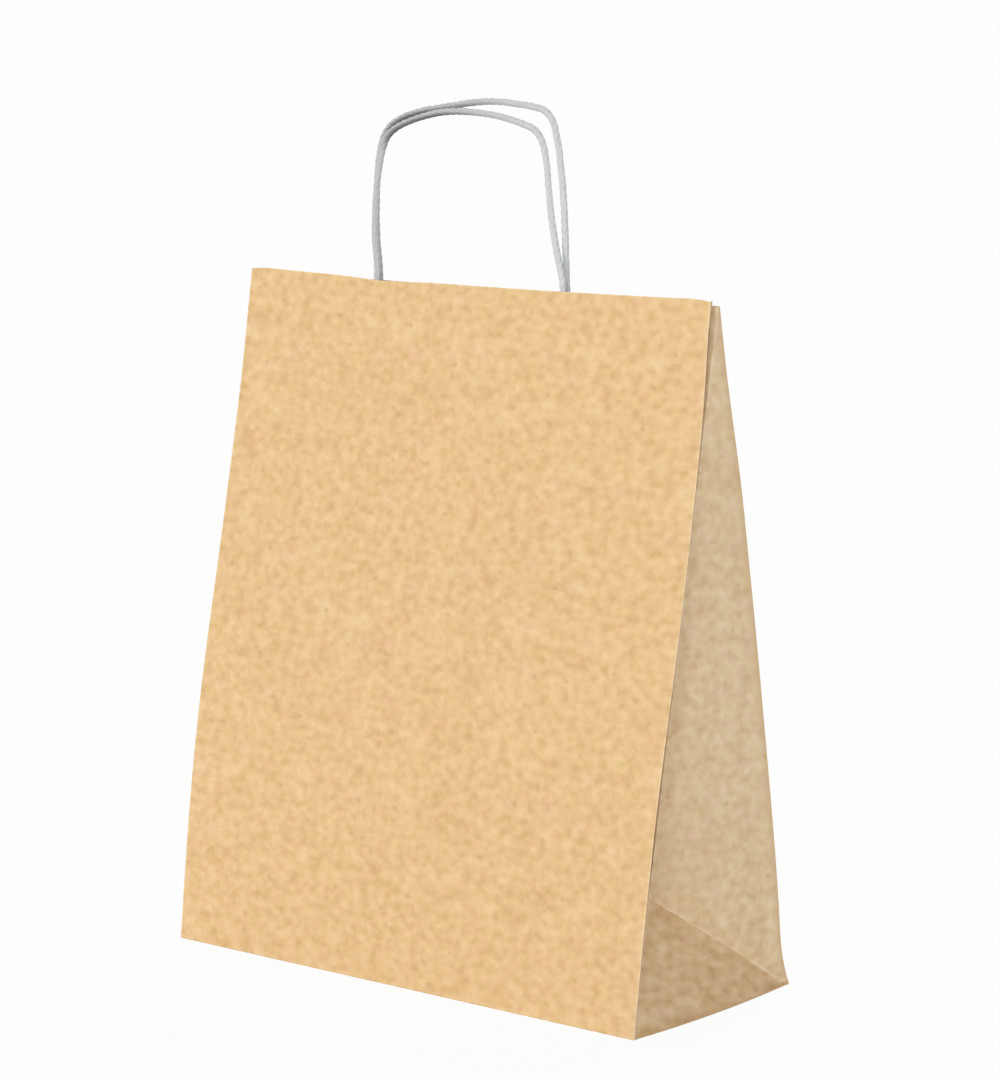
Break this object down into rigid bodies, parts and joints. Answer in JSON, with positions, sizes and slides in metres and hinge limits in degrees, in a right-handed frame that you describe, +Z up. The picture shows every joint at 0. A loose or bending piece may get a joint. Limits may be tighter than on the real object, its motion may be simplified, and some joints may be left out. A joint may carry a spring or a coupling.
{
  "type": "gift bag",
  "caption": "Kraft paper gift bag with a flat block bottom, side gussets that fold in as the mouth closes, and twisted cord handles that fold over the rim.",
  "frame": {"origin": "centre of the base, on the surface that the bag stands on", "axes": "+Z up, the front panel faces -Y, the width runs along X"},
  "size_m": [0.25, 0.1081, 0.3733],
  "materials": {
    "kraft_paper": "matte uncoated brown kraft",
    "paper_cord": "matte white twisted paper"
  },
  "bodies": {
    "base": {"base_back_flap": "kraft_paper", "base_front_flap": "kraft_paper", "base_right_end_flap": "kraft_paper", "base_left_end_flap": "kraft_paper"},
    "front_wall": {"front_panel": "kraft_paper", "front_outer_strip": "kraft_paper", "front_inner_strip": "kraft_paper", "front_cord_ends": "paper_cord"},
    "back_wall": {"back_panel": "kraft_paper", "seam_lap": "kraft_paper", "back_outer_strip": "kraft_paper", "back_inner_strip": "kraft_paper", "back_cord_ends": "paper_cord"},
    "front_handle": {"front_handle": "paper_cord"},
    "back_handle": {"back_handle": "paper_cord"},
    "right_foot_fold": {"right_foot_fold": "kraft_paper"},
    "right_front_wedge": {"right_front_wedge": "kraft_paper"},
    "right_front_gusset": {"right_front_gusset": "kraft_paper"},
    "right_crease_strip": {"right_crease_strip": "kraft_paper"},
    "right_back_wedge": {"right_back_wedge": "kraft_paper"},
    "right_back_gusset": {"right_back_gusset": "kraft_paper"},
    "left_foot_fold": {"left_foot_fold": "kraft_paper"},
    "left_front_wedge": {"left_front_wedge": "kraft_paper"},
    "left_front_gusset": {"left_front_gusset": "kraft_paper"},
    "left_crease_strip": {"left_crease_strip": "kraft_paper"},
    "left_back_wedge": {"left_back_wedge": "kraft_paper"},
    "left_back_gusset": {"left_back_gusset": "kraft_paper"}
  },
  "joints": [
    {"name": "mouth_open", "type": "hinge", "parent": "base", "child": "front_wall", "pos_m": [0, -0.054, 0.0008], "axis": [1, 0, 0], "range_deg": [0, 8.93]},
    {"name": "back_wall_fold", "type": "hinge", "parent": "base", "child": "back_wall", "pos_m": [0, 0.054, 0.0008], "axis": [-1, 0, 0], "range_deg": [0, 8.94]},
    {"name": "right_foot_fold_hinge", "type": "hinge", "parent": "base", "child": "right_foot_fold", "pos_m": [0.125, 0, 0.0008], "axis": [0, 1, 0], "range_deg": [0, 23.49]},
    {"name": "right_front_edge_fold", "type": "hinge", "parent": "front_wall", "child": "right_front_wedge", "pos_m": [0.125, -0.054, 0.0008], "axis": [0, 0.169, 0.9856], "range_deg": [-22.48, 0]},
    {"name": "right_front_slant_fold", "type": "hinge", "parent": "right_front_wedge", "child": "right_front_gusset", "pos_m": [0.09651, 0, 0.0443], "axis": [0.1131, -0.012, 0.9935], "range_deg": [-40.54, 0]},
    {"name": "right_middle_fold", "type": "hinge", "parent": "right_front_gusset", "child": "right_crease_strip", "pos_m": [0.09651, 0, 0.0443], "axis": [-0.102, 0, 0.9948], "range_deg": [0, 125.47]},
    {"name": "right_back_edge_fold", "type": "hinge", "parent": "back_wall", "child": "right_back_wedge", "pos_m": [0.125, 0.054, 0.0008], "axis": [0, 0.169, -0.9856], "range_deg": [-22.48, 0]},
    {"name": "right_back_slant_fold", "type": "hinge", "parent": "right_back_wedge", "child": "right_back_gusset", "pos_m": [0.09651, 0, 0.0443], "axis": [-0.1131, -0.012, -0.9935], "range_deg": [-40.54, 0]},
    {"name": "left_foot_fold_hinge", "type": "hinge", "parent": "base", "child": "left_foot_fold", "pos_m": [-0.125, 0, 0.0008], "axis": [0, -1, 0], "range_deg": [0, 23.49]},
    {"name": "left_front_edge_fold", "type": "hinge", "parent": "front_wall", "child": "left_front_wedge", "pos_m": [-0.125, -0.054, 0.0008], "axis": [0, -0.169, -0.9856], "range_deg": [-22.48, 0]},
    {"name": "left_front_slant_fold", "type": "hinge", "parent": "left_front_wedge", "child": "left_front_gusset", "pos_m": [-0.09651, 0, 0.0443], "axis": [0.1131, 0.012, -0.9935], "range_deg": [-40.54, 0]},
    {"name": "left_middle_fold", "type": "hinge", "parent": "left_front_gusset", "child": "left_crease_strip", "pos_m": [-0.09651, 0, 0.0443], "axis": [-0.102, 0, -0.9948], "range_deg": [0, 125.47]},
    {"name": "left_back_edge_fold", "type": "hinge", "parent": "back_wall", "child": "left_back_wedge", "pos_m": [-0.125, 0.054, 0.0008], "axis": [0, -0.169, 0.9856], "range_deg": [-22.48, 0]},
    {"name": "left_back_slant_fold", "type": "hinge", "parent": "left_back_wedge", "child": "left_back_gusset", "pos_m": [-0.09651, 0, 0.0443], "axis": [-0.1131, 0.012, 0.9935], "range_deg": [-40.54, 0]},
    {"name": "front_handle_fold", "type": "hinge", "parent": "front_wall", "child": "front_handle", "pos_m": [0, -0.00388, 0.29476], "axis": [1, 0, 0], "range_deg": [0, 170]},
    {"name": "back_handle_fold", "type": "hinge", "parent": "back_wall", "child": "back_handle", "pos_m": [0, 0.00388, 0.29476], "axis": [-1, 0, 0], "range_deg": [0, 170]}
  ],
  "couplings": [
    {"joint": "back_wall_fold", "follows": "mouth_open", "ratio": 1},
    {"joint": "right_foot_fold_hinge", "follows": "mouth_open", "ratio": 2.6302},
    {"joint": "right_front_edge_fold", "follows": "mouth_open", "ratio": -2.5165},
    {"joint": "right_front_slant_fold", "follows": "mouth_open", "ratio": -4.5394},
    {"joint": "right_middle_fold", "follows": "mouth_open", "ratio": 14.05},
    {"joint": "right_back_edge_fold", "follows": "mouth_open", "ratio": -2.5165},
    {"joint": "right_back_slant_fold", "follows": "mouth_open", "ratio": -4.5394},
    {"joint": "left_foot_fold_hinge", "follows": "mouth_open", "ratio": 2.6302},
    {"joint": "left_front_edge_fold", "follows": "mouth_open", "ratio": -2.5165},
    {"joint": "left_front_slant_fold", "follows": "mouth_open", "ratio": -4.5394},
    {"joint": "left_middle_fold", "follows": "mouth_open", "ratio": 14.05},
    {"joint": "left_back_edge_fold", "follows": "mouth_open", "ratio": -2.5165},
    {"joint": "left_back_slant_fold", "follows": "mouth_open", "ratio": -4.5394}
  ]
}
